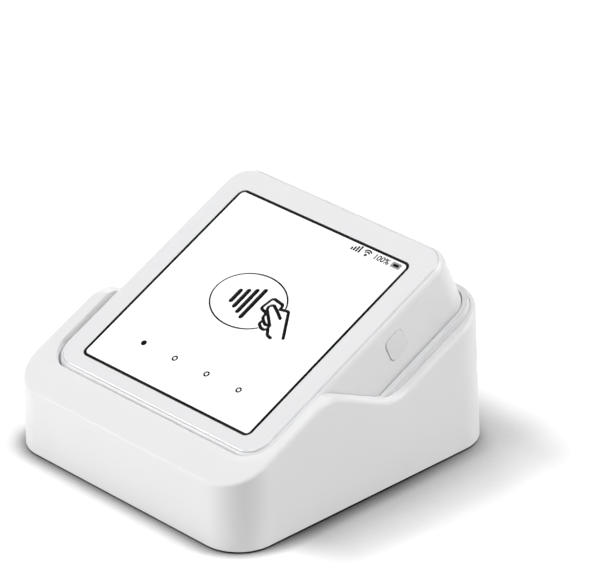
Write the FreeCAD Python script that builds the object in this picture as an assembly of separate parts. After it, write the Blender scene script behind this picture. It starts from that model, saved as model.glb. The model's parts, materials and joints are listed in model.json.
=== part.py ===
import FreeCAD, Part
import math
import os

# Card payment terminal: a square touch-screen reader that stands in a wedge-shaped charging stand.
# Millimetres, +Z up. Origin: middle of the stand's outline, on the surface that it rests on.
# +X is to the right of a person who faces the screen, and +Y points away from that person.
# Reader pieces are drawn in the face frame: origin in the middle of the glass, x across, y up the
# slope of the face, z out of the face. face_to_part() then tilts them into the stand.

Vec = FreeCAD.Vector
X_AXIS = Vec(1, 0, 0)
Y_AXIS = Vec(0, 1, 0)
Z_AXIS = Vec(0, 0, 1)

# ---- Reader -----------------------------------------------------------------------------------
tilt_angle = 25.5             # slope of the reader's face, degrees
reader_corner = 8.0           # outline corner radius
housing_wall = 1.8
shoulder_width = 1.36         # the rounded shoulder between face and side, across the face
shoulder_height = 2.5         # and down the side
seam_width = 0.07             # seam round the glass
inner_fit = 0.12              # inner pieces to the housing's inner wall
glass_thickness = 1.0
glass_proud = 0.45            # glass above the edge of the housing
glass_edge_radius = 0.6
gasket_thickness = 0.2
ledge_thickness = 1.6         # ledge that carries the glass
mask_thickness = 0.15
window_width = 68.2           # opening of the printed mask
window_height = 70.2
window_offset = -1.45          # middle of the window, up the face
window_corner = 2.2
panel_border = 1.0            # display panel beyond the window
panel_thickness = 1.7
backlight_thickness = 1.4
coil_thickness = 0.3
coil_band = 5.0
chassis_floor = 0.9
chassis_wall = 1.0
chassis_bearing = 0.8         # how far the ledge covers the chassis wall
chassis_clearance = 0.2
chassis_gap = 1.95            # chassis to the housing's inner wall
standoff_height = 2.4         # chassis to main board
standoff_radius = 2.2
standoff_place = 30.0
board_thickness = 1.2
board_edge_gap = 2.4          # main board to the housing's inner wall
boss_radius = 2.6
boss_bite = 0.5               # how far a screw boss runs into the rounded corner of the wall
boss_top_gap = 0.4            # chassis to boss
cover_height = 2.1            # height of the back cover's edge
cover_floor = 1.5
cover_edge_radius = 1.6
cover_lip = 1.2               # height and width of the locating lip
screw_radius = 1.0
screw_head_radius = 1.9
screw_head_height = 1.2
screw_clearance = 0.15
screw_slot = (2.66, 0.5, 0.6)  # length, width, depth
screw_end_gap = 0.4           # end of a screw to the end of its hole
thread_gap = 0.02
back_screw_length = 8.0
board_screw_length = 3.2

# Power button in the right side
button_width = 7.0            # up the slope
button_height = 7.6           # through the thickness
button_corner = 1.8
button_place = 13.35           # middle, up the slope
button_depth = 8.75            # middle, below the glass
button_proud = 0.25
button_travel = 0.5
button_gap = 0.15
button_flange = 0.8
button_flange_thickness = 1.1
switch_size = (3.2, 5.0, 2.6)
plunger_radius = 0.8
plunger_gap = 0.1

# Card slot in the upper edge
card_width = 54.0
card_channel = 1.2            # height of the card's way
card_play = 0.6
card_depth = 12.0             # middle of the slot, below the glass
card_reach = 38.0             # way inside the channel
card_wall = 2.4
card_roof = 0.9
card_floor = 0.9
slot_flare = 0.5
chip_foot_radius = 1.6
chip_foot_inset = (4.0, 6.0)  # feet from the channel's sides, and from its rear edge
contact_count = 4             # contacts in a row, in two rows
contact_pitch = 2.54
contact_row_gap = 7.62
contact_size = (1.3, 3.0)
contact_play = 0.1            # contact to its window
contact_place = 17.1          # middle of the two rows, from the channel's end
contact_rise = 0.4            # contact into the card's way

# Battery, speaker, pads
battery_size = (58.0, 34.5, 7.4)
battery_front_gap = 1.6
battery_headroom = 2.65       # left over between the main board and the back cover
battery_edge_radius = 1.2
speaker_size = (7.0, 16.0, 5.0)
speaker_corner = 1.2
speaker_place = 24.0
speaker_port = (1.0, 2.2)     # depth and height of the port behind the sound holes
sound_hole_radius = 0.5
sound_hole_pitch = 3.0
sound_hole_count = 5
sound_hole_rise = 3.5         # holes above the inside of the back cover
pad_count = 4
pad_pitch = 5.0
pad_radius = 1.8
pad_recess = 0.1
pad_place = 24.0              # row of pads, up the slope
pad_board_size = (22.0, 7.0, 1.0)
shield_size = (24.0, 22.0, 1.8)
shield_wall = 0.25
shield_place = (-8.0, 4.0)
sim_size = (14.0, 12.0, 1.3)
sim_edge_gap = (15.3, 8.3)    # from the main board's right and front edges

# USB-C inlets
usb_width = 8.94
usb_height = 3.2
usb_depth = 7.35
usb_wall = 0.3
usb_tongue = (6.7, 0.7, 4.6)
usb_gap = 0.2
reader_usb_place = 6.0        # up the slope, in the left side
reader_usb_setback = 0.6      # mouth behind the side's surface

# ---- Stand ------------------------------------------------------------------------------------
dock_gap = 0.3               # reader to pocket wall
seat_gap = 0.1                # reader to tray floor
tray_floor = 1.8
lip_thickness = 1.5
lip_cover = 2.7               # height of the reader's side that the tray's lip covers
tray_gap = 0.1                # tray to shell
tray_edge_radius = 1.08
side_rim = 4.4               # rim beside the pocket
front_rim = 10.48              # rim in front of the pocket, measured level
rear_rim = 2.25                # rim behind the tray's lip
rim_rise = 0.9                # rim above the glass
notch_cover = 0.4             # and that the rim in the notches and behind the reader covers
notch_start = -14.95           # upper corner of the notch, up the slope
ramp_angle = 24.0             # fall of the notch's ramp, from level
crest_radius = 10.0
valley_radius = 13.0
rear_lean = 3.7               # degrees that the rear wall leans forward
front_corner = 12.0
rear_corner = 14.0
rim_edge_radius = 1.2
mouth_width = 3.15            # slope that leads from the rim down to the pocket
mouth_drop = 0.6
mouth_radius = 0.35           # its rounded lower edge
shell_wall = 2.4
rim_thickness = 2.2
skirt_wall = 1.8              # wall between the pocket and the hollow front
pad_height = 0.7              # non-slip pad below the shell
base_thickness = 2.3
base_recess = 0.2             # base plate above the shell's lower edge
base_gap = 0.15
tray_lift = 0.46              # lowest corner of the tray above the base plate
foot_thickness = 1.2
foot_margin = 9.0
foot_corner = 8.0
shell_boss_radius = 3.2
shell_boss_height = 18.0      # rear bosses
front_boss_inset = (4.32, 2.4)  # boss to the side wall and to the front wall
rear_boss_inset = 2.56        # axis of the rear boss to the rounded corner's inner surface
leg_radius = 3.2
leg_half_spacing = 31.0
front_leg_place = -20.0       # from the middle of the face, level
rear_leg_place = 30.0
base_screw_length = 9.0
ballast_size = (60.0, 30.0, 8.0)
ballast_place = 7.0           # middle, from the middle of the face, level
ballast_rib = 1.4
charging_board_size = (44.0, 21.0, 1.6)
charging_board_post = 3.4     # height of the posts under the charging board
charging_post_radius = 2.4
charging_post_inset = 2.8
charging_post_floor = 0.3     # below the screw holes, above the foot pad
plug_opening = (13.4, 7.4)    # opening in the rear wall for a plug's grip
plug_corner = 3.2
inlet_setback = 5.6           # inlet's mouth behind the rear wall's surface

# Charging pins under the pads
holder_size = (24.0, 7.0)
holder_flange = (36.0, 7.0, 1.6)
holder_length = 7.4           # below the tray's floor
holder_screw_place = 14.5
holder_screw_bite = 1.08      # screw in the tray's floor
holder_screw_end_gap = 0.18
pin_tip_radius = 0.75
pin_collar_radius = 1.1
pin_collar_length = 1.6
pin_bore_gap = 0.1
pin_shoulder = 1.2            # thickness of the holder above the collars
pin_travel = 1.0
pin_pad_gap = 0.05
spring_wire = 0.25
spring_turns = 6.5
spring_end_gap = 0.06
pin_board_thickness = 1.2
ribbon_width = 6.0
ribbon_thickness = 0.6
ribbon_bend = 4.0
cut_reach = 200.0             # cutting blocks, longer than the stand

# ---- Worked out from the values above -----------------------------------------------------------
tilt = math.radians(tilt_angle)
window_reach = max(window_width / 2, abs(window_offset) + window_height / 2)
chassis_inner = window_reach + panel_border + chassis_clearance
chassis_outer = chassis_inner + chassis_wall
inner_half = chassis_outer + chassis_gap
half_side = inner_half + housing_wall
board_half = inner_half - board_edge_gap
glass_half = half_side - shoulder_width - seam_width
glass_corner = reader_corner - shoulder_width - seam_width
glass_under = -glass_thickness
panel_top = glass_under - mask_thickness
ledge_top = panel_top - gasket_thickness
ledge_under = ledge_top - ledge_thickness
ledge_inner = chassis_outer - chassis_bearing
panel_under = panel_top - panel_thickness
backlight_under = panel_under - backlight_thickness
coil_under = backlight_under - coil_thickness
chassis_under = coil_under - chassis_floor
board_top = chassis_under - standoff_height
board_under = board_top - board_thickness
reader_usb_depth = -(board_under - usb_height / 2)
reader_thickness = cover_floor + battery_size[2] + battery_headroom - board_under
cover_top = -(reader_thickness - cover_height)
cover_inside = -(reader_thickness - cover_floor)
inner_corner = reader_corner - housing_wall
boss_place = inner_half - inner_corner + (inner_corner - boss_radius + boss_bite) / math.sqrt(2)
channel_roof = -(card_depth - card_channel / 2)
channel_floor = -(card_depth + card_channel / 2)
channel_half = (card_width + card_play) / 2
seat_level = -(reader_thickness + seat_gap)
tray_under = seat_level - tray_floor
pocket_half = half_side + dock_gap
pocket_corner = reader_corner + dock_gap
tray_half = pocket_half + lip_thickness
tray_corner = pocket_corner + lip_thickness
shell_pocket_half = tray_half + tray_gap
lip_depth = reader_thickness - lip_cover     # below the glass
notch_depth = reader_thickness - notch_cover
ledge_level = -(lip_depth - tray_gap)
well_floor = min(tray_under - tray_gap, -notch_depth - rim_thickness)

shell_bottom = pad_height
base_under = shell_bottom + base_recess
base_top = base_under + base_thickness
face_height = (base_top + tray_lift + tray_half * math.sin(tilt) - tray_under * math.cos(tilt))


def slope_point(along, out):
    """Level distance and height of a face-frame point, from the middle of the face."""
    level = along * math.cos(tilt) - out * math.sin(tilt)
    height = face_height + along * math.sin(tilt) + out * math.cos(tilt)
    return level, height


def plane_height(level, out):
    """Height of the plane that lies 'out' above the glass, over a level distance."""
    return face_height + (out + level * math.sin(tilt)) / math.cos(tilt)


front_level = slope_point(-pocket_half, rim_rise)[0] - front_rim
rear_top_level, rear_top_height = slope_point(shell_pocket_half + rear_rim, -notch_depth)
rear_level = rear_top_level + (rear_top_height - shell_bottom) * math.tan(math.radians(rear_lean))
face_place = -(front_level + rear_level) / 2
shell_half = pocket_half + side_rim
FACE_PLACEMENT = FreeCAD.Placement(Vec(0, face_place, face_height),
                                   FreeCAD.Rotation(X_AXIS, tilt_angle))


# ---- Helpers ------------------------------------------------------------------------------------
def face_to_part(shape):
    placed = shape.copy()
    placed.Placement = FACE_PLACEMENT.multiply(placed.Placement)
    return placed


def block(size, centre_x, centre_y, low):
    width, depth, height = size
    return Part.makeBox(width, depth, height, Vec(centre_x - width / 2, centre_y - depth / 2, low))


def rounded_block(width, depth, radius, low, high, centre_x=0.0, centre_y=0.0):
    solid = block((width, depth, high - low), centre_x, centre_y, low)
    upright = [edge for edge in solid.Edges if edge.BoundBox.ZLength > (high - low) / 2]
    return solid.makeFillet(radius, upright)


def rounded_square(half, radius, low, high):
    return rounded_block(2 * half, 2 * half, radius, low, high)


def rod(radius, low, high, x, y):
    return Part.makeCylinder(radius, high - low, Vec(x, y, low))


def polygon_face(points):
    return Part.Face(Part.makePolygon([Vec(*point) for point in points + points[:1]]))


def fuse_all(shapes):
    return shapes[0].multiFuse(shapes[1:]).removeSplitter() if len(shapes) > 1 else shapes[0]


def cut_all(shape, tools):
    return shape.cut(Part.makeCompound(tools))


def four_corners(half_x, half_y=None):
    reach_y = half_x if half_y is None else half_y
    return [(side * half_x, end * reach_y) for side in (-1, 1) for end in (-1, 1)]


def around_square(section, half, corner):
    """Sweep a section drawn in the x-z plane, on the right-hand side, round a rounded square."""
    straight = half - corner
    side = section.copy()
    side.translate(Vec(0, -straight, 0))
    wall = side.extrude(Vec(0, 2 * straight, 0))
    turn = section.copy()
    turn.translate(Vec(0, straight, 0))
    bend = turn.revolve(Vec(straight, straight, 0), Z_AXIS, 90)
    quarter = wall.fuse(bend)
    turns = []
    for index in range(4):
        piece = quarter.copy()
        piece.rotate(Vec(0, 0, 0), Z_AXIS, 90 * index)
        turns.append(piece)
    return fuse_all(turns)


def screw(length, x, y, head_level, direction=1):
    """Pan-head screw: head seated at head_level, shank towards +z (direction 1) or -z (-1)."""
    head_low = head_level - screw_head_height if direction == 1 else head_level
    head = rod(screw_head_radius, head_low, head_low + screw_head_height, x, y)
    shank_low = head_level if direction == 1 else head_level - length
    shank = rod(screw_radius, shank_low, shank_low + length, x, y)
    slot_low = head_low if direction == 1 else head_low + screw_head_height - screw_slot[2]
    slot = block(screw_slot, x, y, slot_low)
    return head.fuse(shank).removeSplitter().cut(slot)


def usb_receptacle():
    """Inlet with its mouth at the origin, opening along +y. Returns shell and tongue."""
    radius = usb_height / 2 - 0.01
    outer = rounded_block(usb_width, usb_height, radius, 0, usb_depth)
    inner = rounded_block(usb_width - 2 * usb_wall, usb_height - 2 * usb_wall, radius - usb_wall,
                          usb_wall, usb_depth + 1)
    shell = outer.cut(inner)
    width, height, reach = usb_tongue
    tongue = block((width, height, reach), 0, 0, usb_wall)
    for part in (shell, tongue):
        part.translate(Vec(0, 0, -usb_depth))
        part.rotate(Vec(0, 0, 0), X_AXIS, -90)
    return shell, tongue


# ---- Reader pieces, in the face frame ---------------------------------------------------------
def make_cover_glass():
    plate = rounded_square(glass_half, glass_corner, glass_under, 0)
    top_edges = [edge for edge in plate.Edges if edge.BoundBox.ZMin > -glass_thickness / 2]
    return plate.makeFillet(glass_edge_radius, top_edges)


def make_frame(outer_half, outer_corner, inner_half_x, inner_half_y, inner_corner, low, high,
               inner_offset=0.0):
    outer = rounded_square(outer_half, outer_corner, low, high)
    inner = rounded_block(2 * inner_half_x, 2 * inner_half_y, inner_corner, low - 1, high + 1,
                          0, inner_offset)
    return outer.cut(inner)


def make_glass_gasket():
    return make_frame(glass_half - seam_width, glass_corner - seam_width, ledge_inner, ledge_inner,
                      glass_corner, ledge_top, panel_top)


def make_bezel_mask():
    return make_frame(glass_half - seam_width, glass_corner - seam_width, window_width / 2,
                      window_height / 2, window_corner, panel_top, glass_under, window_offset)


def make_panel_layer(low, high):
    return rounded_block(window_width + 2 * panel_border, window_height + 2 * panel_border,
                         window_corner, low, high, 0, window_offset)


def make_antenna_coil():
    outer = make_panel_layer(coil_under, backlight_under)
    inner = rounded_block(window_width + 2 * panel_border - 2 * coil_band,
                          window_height + 2 * panel_border - 2 * coil_band,
                          window_corner, coil_under - 1, backlight_under + 1, 0, window_offset)
    return outer.cut(inner)


def make_display_chassis():
    body = rounded_square(chassis_outer, window_corner + chassis_wall, chassis_under, ledge_under)
    hollow = rounded_square(chassis_inner, window_corner, coil_under, ledge_under + 1)
    standoffs = [rod(standoff_radius, board_top, chassis_under, x, y)
                 for x, y in four_corners(standoff_place)]
    pilots = [rod(screw_radius + thread_gap, board_top, chassis_under, x, y)
              for x, y in four_corners(standoff_place)]
    return cut_all(fuse_all([body.cut(hollow)] + standoffs), pilots)


def housing_section():
    """Wall of the housing in the x-z plane, with its shoulder and the ledge for the glass."""
    rim_level = -glass_proud
    inner_edge = glass_half + seam_width
    outline = [Vec(inner_edge, 0, rim_level), Vec(inner_edge, 0, ledge_top),
               Vec(ledge_inner, 0, ledge_top), Vec(ledge_inner, 0, ledge_under),
               Vec(inner_half, 0, ledge_under), Vec(inner_half, 0, cover_top),
               Vec(half_side, 0, cover_top), Vec(half_side, 0, -shoulder_height)]
    rise = shoulder_height - glass_proud
    radius = (shoulder_width ** 2 + rise ** 2) / (2 * shoulder_width)
    half_turn = math.asin(rise / radius) / 2
    middle = Vec(half_side - radius * (1 - math.cos(half_turn)), 0,
                 radius * math.sin(half_turn) - shoulder_height)
    shoulder = Part.Arc(outline[0], middle, outline[-1]).toShape()
    edges = [Part.makeLine(a, b) for a, b in zip(outline[:-1], outline[1:])]
    return Part.Face(Part.Wire(Part.__sortEdges__(edges + [shoulder])))


def side_prism(width, height, radius, low_x, high_x, along, depth):
    """Rounded bar along x, 'width' up the slope and 'height' through the thickness."""
    bar = rounded_block(height, width, radius, low_x, high_x)
    bar.rotate(Vec(0, 0, 0), Y_AXIS, 90)
    bar.translate(Vec(0, along, -depth))
    return bar


def make_reader_housing():
    ring = around_square(housing_section(), half_side, reader_corner)
    limit = rounded_square(half_side - housing_wall / 2, reader_corner - housing_wall / 2,
                           cover_top, chassis_under - boss_top_gap)
    bosses = [rod(boss_radius, cover_top, chassis_under - boss_top_gap, x, y).common(limit)
              for x, y in four_corners(boss_place)]
    pilots = [rod(screw_radius + thread_gap, cover_top, cover_top + back_screw_length, x, y)
              for x, y in four_corners(boss_place)]
    window = side_prism(button_width + 2 * button_gap, button_height + 2 * button_gap,
                        button_corner + button_gap, inner_half - housing_wall, half_side + 1,
                        button_place, button_depth)
    inlet = side_prism(usb_width + 2 * usb_gap, usb_height + 2 * usb_gap, usb_height / 2,
                       -half_side - 1, -inner_half + 1, reader_usb_place, reader_usb_depth)
    slot = block((2 * channel_half + slot_flare, 2 * housing_wall + 2, card_channel + slot_flare),
                 0, half_side, channel_floor - slot_flare / 2)
    flare = block((2 * (channel_half + 2 * slot_flare), 2 * slot_flare,
                   card_channel + 4 * slot_flare),
                  0, half_side, channel_floor - 2 * slot_flare)
    holes = []
    for index in range(sound_hole_count):
        along = speaker_place + (index - (sound_hole_count - 1) / 2) * sound_hole_pitch
        hole = Part.makeCylinder(sound_hole_radius, housing_wall + 2,
                                 Vec(-half_side - 1, along, cover_inside + sound_hole_rise), X_AXIS)
        holes.append(hole)
    return cut_all(fuse_all([ring] + bosses), pilots + [window, inlet, slot, flare] + holes)


def make_back_cover():
    shell = rounded_square(half_side, reader_corner, -reader_thickness, cover_top)
    lower = [edge for edge in shell.Edges if edge.BoundBox.ZMax < -reader_thickness + 0.01]
    shell = shell.makeFillet(cover_edge_radius, lower)
    lip_outer = inner_half - inner_fit
    lip = make_frame(lip_outer, inner_corner, lip_outer - cover_lip,
                     lip_outer - cover_lip, inner_corner - cover_lip,
                     cover_inside, cover_top + cover_lip)
    hollow = rounded_square(inner_half, inner_corner, cover_inside, cover_top)
    pillars = [rod(boss_radius, cover_inside, cover_top, x, y)
               for x, y in four_corners(boss_place)]
    clear = [rod(boss_radius + screw_clearance, cover_top, cover_top + cover_lip + 1, x, y)
             for x, y in four_corners(boss_place)]
    holes = [rod(screw_radius + screw_clearance, -reader_thickness - 1, cover_top + 1, x, y)
             for x, y in four_corners(boss_place)]
    heads = [rod(screw_head_radius + screw_clearance, -reader_thickness - 1, back_head_seat(), x, y)
             for x, y in four_corners(boss_place)]
    pads = [rod(pad_radius, -reader_thickness - 1, cover_inside, x, pad_place)
            for x in pad_places()]
    return cut_all(fuse_all([shell.cut(hollow), lip] + pillars), clear + holes + heads + pads)


def back_head_seat():
    return -reader_thickness + screw_head_height + pad_recess


def make_back_screws():
    return [screw(back_screw_length, x, y, back_head_seat())
            for x, y in four_corners(boss_place)]


def make_main_board():
    board = block((2 * board_half, 2 * board_half, board_thickness), 0, 0, board_under)
    notches = [rod(boss_radius + board_edge_gap / 2, board_under - 1, board_top + 1, x, y)
               for x, y in four_corners(boss_place)]
    holes = [rod(screw_radius + screw_clearance, board_under - 1, board_top + 1, x, y)
             for x, y in four_corners(standoff_place)]
    return cut_all(board, notches + holes)


def make_board_screws():
    return [screw(board_screw_length, x, y, board_under)
            for x, y in four_corners(standoff_place)]


def make_shield_can():
    width, depth, height = shield_size
    can = block(shield_size, shield_place[0], shield_place[1], board_top)
    hollow = block((width - 2 * shield_wall, depth - 2 * shield_wall, height - shield_wall),
                   shield_place[0], shield_place[1], board_top)
    return can.cut(hollow)


def make_sim_holder():
    width, depth, _ = sim_size
    right_gap, front_gap = sim_edge_gap
    return block(sim_size, board_half - right_gap - width / 2,
                 front_gap + depth / 2 - board_half, board_top)


def make_power_switch():
    length, width, height = switch_size
    body = block((length, width, height), board_half - length / 2, button_place,
                 board_under - height)
    depth = button_travel + plunger_gap
    bore = Part.makeCylinder(plunger_radius + plunger_gap, depth,
                             Vec(board_half - depth, button_place, board_under - height / 2),
                             X_AXIS)
    return body.cut(bore)


def make_switch_plunger():
    end = inner_half - button_gap - button_flange_thickness
    return Part.makeCylinder(plunger_radius, end - board_half,
                             Vec(board_half, button_place, board_under - switch_size[2] / 2), X_AXIS)


def make_power_button():
    flange_end = inner_half - button_gap
    cap = side_prism(button_width, button_height, button_corner,
                     flange_end - button_flange_thickness, half_side + button_proud,
                     button_place, button_depth)
    flange = side_prism(button_width + 2 * button_flange, button_height + 2 * button_flange,
                        button_corner + button_flange, flange_end - button_flange_thickness,
                        flange_end, button_place, button_depth)
    front = [edge for edge in cap.Edges if edge.BoundBox.XMin > half_side]
    return cap.makeFillet(button_proud, front).fuse(flange).removeSplitter()


def contact_places():
    rows = []
    for row in (-0.5, 0.5):
        for index in range(contact_count):
            x = (index - (contact_count - 1) / 2) * contact_pitch
            rows.append((x, channel_end() + contact_place + row * contact_row_gap))
    return rows


def channel_end():
    return inner_half - inner_fit - card_reach


def make_chip_reader():
    rear = inner_half - inner_fit
    front = channel_end() - card_wall
    low = channel_floor - card_floor
    high = channel_roof + card_roof
    body = Part.makeBox(2 * (channel_half + card_wall), rear - front, high - low,
                        Vec(-channel_half - card_wall, front, low))
    way = Part.makeBox(2 * channel_half, card_reach + 1, card_channel,
                       Vec(-channel_half, channel_end(), channel_floor))
    side_inset, end_inset = chip_foot_inset
    feet = [rod(chip_foot_radius, high, board_under, side * (channel_half - side_inset), y)
            for side in (-1, 1) for y in (front + side_inset, rear - end_inset)]
    windows = [block((contact_size[0] + 2 * contact_play, contact_size[1] + 2 * contact_play,
                      card_roof + 2), x, y, channel_roof - 1) for x, y in contact_places()]
    return cut_all(fuse_all([body] + feet), [way] + windows)


def make_chip_contacts():
    height = card_roof + contact_rise
    contacts = []
    for x, y in contact_places():
        strip = block((contact_size[0], contact_size[1], height), x, y, channel_roof - contact_rise)
        under = [edge for edge in strip.Edges
                 if edge.BoundBox.ZMax < channel_roof - contact_rise + 0.01
                 and edge.BoundBox.XLength > contact_size[0] / 2]
        contacts.append(strip.makeFillet(contact_rise * 0.9, under))
    return contacts


def make_battery_pack():
    width, depth, height = battery_size
    front = -(inner_half - inner_fit - cover_lip - battery_front_gap)
    pack = block((width, depth, height), 0, front + depth / 2, cover_inside)
    long_edges = [edge for edge in pack.Edges if edge.BoundBox.XLength > width / 2]
    return pack.makeFillet(battery_edge_radius, long_edges)


def make_speaker():
    width, depth, height = speaker_size
    outer = -(inner_half - inner_fit - cover_lip - inner_fit)
    body = rounded_block(width, depth, speaker_corner, cover_inside, cover_inside + height,
                         outer + width / 2, speaker_place)
    port_depth, port_height = speaker_port
    port_length = (sound_hole_count - 1) * sound_hole_pitch + 2 * sound_hole_radius
    port = block((2 * port_depth, port_length, port_height), outer, speaker_place,
                 cover_inside + sound_hole_rise - port_height / 2)
    return body.cut(port)


def pad_places():
    return [(index - (pad_count - 1) / 2) * pad_pitch for index in range(pad_count)]


def make_charge_pads():
    return [rod(pad_radius, -reader_thickness + pad_recess, cover_inside, x, pad_place)
            for x in pad_places()]


def make_reader_usb():
    pieces = []
    for part in usb_receptacle():
        part.rotate(Vec(0, 0, 0), Z_AXIS, 90)
        part.translate(Vec(-half_side + reader_usb_setback, reader_usb_place, -reader_usb_depth))
        pieces.append(part)
    return pieces


# ---- Stand ------------------------------------------------------------------------------------
def filleted_profile(inset, drop):
    """Side view of the stand as a wire in the y-z plane, level distances from the face's middle."""
    lean = math.radians(rear_lean)
    front = front_level + inset
    rim_out = rim_rise - drop
    notch_out = -notch_depth - drop
    crest_along, crest_height = slope_point(notch_start, rim_rise)
    ramp_slope = math.tan(math.radians(ramp_angle))
    ramp_drop = drop / math.cos(math.radians(ramp_angle)) if drop else 0.0

    def ramp_meets(out):
        """Level distance at which the ramp meets the plane 'out' above the glass."""
        rise = math.tan(tilt) + ramp_slope
        level_height = crest_height - ramp_drop - face_height - out / math.cos(tilt)
        return (level_height + ramp_slope * crest_along) / rise

    crest = ramp_meets(rim_out)
    valley = ramp_meets(notch_out)
    lean_shift = inset / math.cos(lean)
    rear_bottom = rear_level - lean_shift
    slope = math.tan(tilt)
    notch_base = plane_height(0, notch_out)
    rear_top = (rear_bottom - math.tan(lean) * (notch_base - shell_bottom)) / (
        1 + math.tan(lean) * slope)
    points = [Vec(0, front, shell_bottom), Vec(0, front, plane_height(front, rim_out)),
              Vec(0, crest, plane_height(crest, rim_out)),
              Vec(0, valley, plane_height(valley, notch_out)),
              Vec(0, rear_top, plane_height(rear_top, notch_out)),
              Vec(0, rear_bottom, shell_bottom)]
    return corner_wire(points, {2: crest_radius - drop, 3: valley_radius + drop})


def corner_wire(points, radii):
    """Closed wire through the points, with the numbered corners rounded."""
    edges = []
    count = len(points)
    starts = []
    for index, point in enumerate(points):
        radius = radii.get(index, 0)
        if radius <= 0:
            starts.append((point, point, None))
            continue
        back = (points[index - 1] - point).normalize()
        ahead = (points[(index + 1) % count] - point).normalize()
        half_angle = back.getAngle(ahead) / 2
        reach = radius / math.tan(half_angle)
        bisector = (back + ahead).normalize()
        centre = point + bisector * (radius / math.sin(half_angle))
        middle = centre - bisector * radius
        starts.append((point + back * reach, point + ahead * reach, middle))
    for index, (enter, leave, middle) in enumerate(starts):
        if middle is not None:
            edges.append(Part.Arc(enter, middle, leave).toShape())
        edges.append(Part.makeLine(leave, starts[(index + 1) % count][0]))
    return Part.Wire(edges)


def stand_body(inset, drop):
    """Solid outline of the stand, its walls moved in by 'inset' and its top lowered by 'drop'."""
    half = shell_half - inset
    face = Part.Face(filleted_profile(inset, drop))
    face.translate(Vec(-half, face_place, 0))
    body = face.extrude(Vec(2 * half, 0, 0))
    middle = (front_level + rear_level) / 2 + face_place
    front_edges = [edge for edge in upright_edges(body) if edge.BoundBox.YMax < middle]
    body = body.makeFillet(front_corner - inset, front_edges)
    rear_edges = [edge for edge in upright_edges(body) if edge.BoundBox.YMin > middle]
    return body.makeFillet(rear_corner - inset, rear_edges)


def upright_edges(body):
    """Corner edges of the walls, which start at the shell's lower edge."""
    return [edge for edge in body.Edges
            if edge.BoundBox.XLength < 0.01 and edge.BoundBox.ZLength > shell_boss_height / 2
            and edge.BoundBox.ZMin < shell_bottom + 0.01]


def outward(face):
    low_u, high_u, low_v, high_v = face.ParameterRange
    return face.normalAt((low_u + high_u) / 2, (low_v + high_v) / 2)


def rim_edges(body):
    """Edges between the sloping top faces and the upright walls."""
    tops = [face for face in body.Faces if outward(face).z > 0.5]
    walls = [face for face in body.Faces if abs(outward(face).z) < 0.3]
    wall_edges = [edge for face in walls for edge in face.Edges]
    return [edge for face in tops for edge in face.Edges
            if any(edge.isSame(other) for other in wall_edges)]


def shell_boss_places():
    front_x = shell_half - shell_wall - shell_boss_radius - front_boss_inset[0]
    front_y = front_level + shell_wall + shell_boss_radius + front_boss_inset[1]
    rear_reach = (rear_corner - shell_wall - rear_boss_inset) / math.sqrt(2)
    rear_x = shell_half - rear_corner + rear_reach
    rear_y = rear_level - rear_corner + rear_reach
    return [(side * x, y + face_place) for side in (-1, 1)
            for x, y in ((front_x, front_y), (rear_x, rear_y))]


def shell_boss_top(y):
    """The front bosses run up into the rim, and the rear ones end in the corner of the walls."""
    return plane_height(y - face_place, rim_rise) if y < 0 else base_top + shell_boss_height


def inlet_axis():
    """Height of the inlet's axis, and the y of its mouth."""
    height = base_top + charging_board_post + charging_board_size[2] + usb_height / 2
    surface = rear_level - (height - shell_bottom) * math.tan(math.radians(rear_lean))
    return height, surface + face_place - inlet_setback


def mouth_section():
    """What is cut away beside the pocket: a shallow slope with a rounded lower edge, in x and z."""
    slope = math.atan2(mouth_drop, mouth_width)
    low = rim_rise - mouth_drop
    bite = mouth_radius * math.tan((math.pi / 2 - slope) / 2)
    wall_end = Vec(pocket_half, 0, low - bite)
    slope_start = Vec(pocket_half + bite * math.cos(slope), 0, low + bite * math.sin(slope))
    turn = (math.pi / 2 + slope) / 2
    middle = wall_end + Vec(mouth_radius - mouth_radius * math.sin(turn), 0,
                            mouth_radius * math.cos(turn))
    outer = Vec(pocket_half + mouth_width, 0, rim_rise)
    up = Vec(0, 0, mouth_drop)
    corners = [slope_start, outer, outer + up, Vec(pocket_half, 0, rim_rise) + up, wall_end]
    edges = [Part.makeLine(a, b) for a, b in zip(corners[:-1], corners[1:])]
    return Part.Face(Part.Wire(edges + [Part.Arc(wall_end, middle, slope_start).toShape()]))


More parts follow.
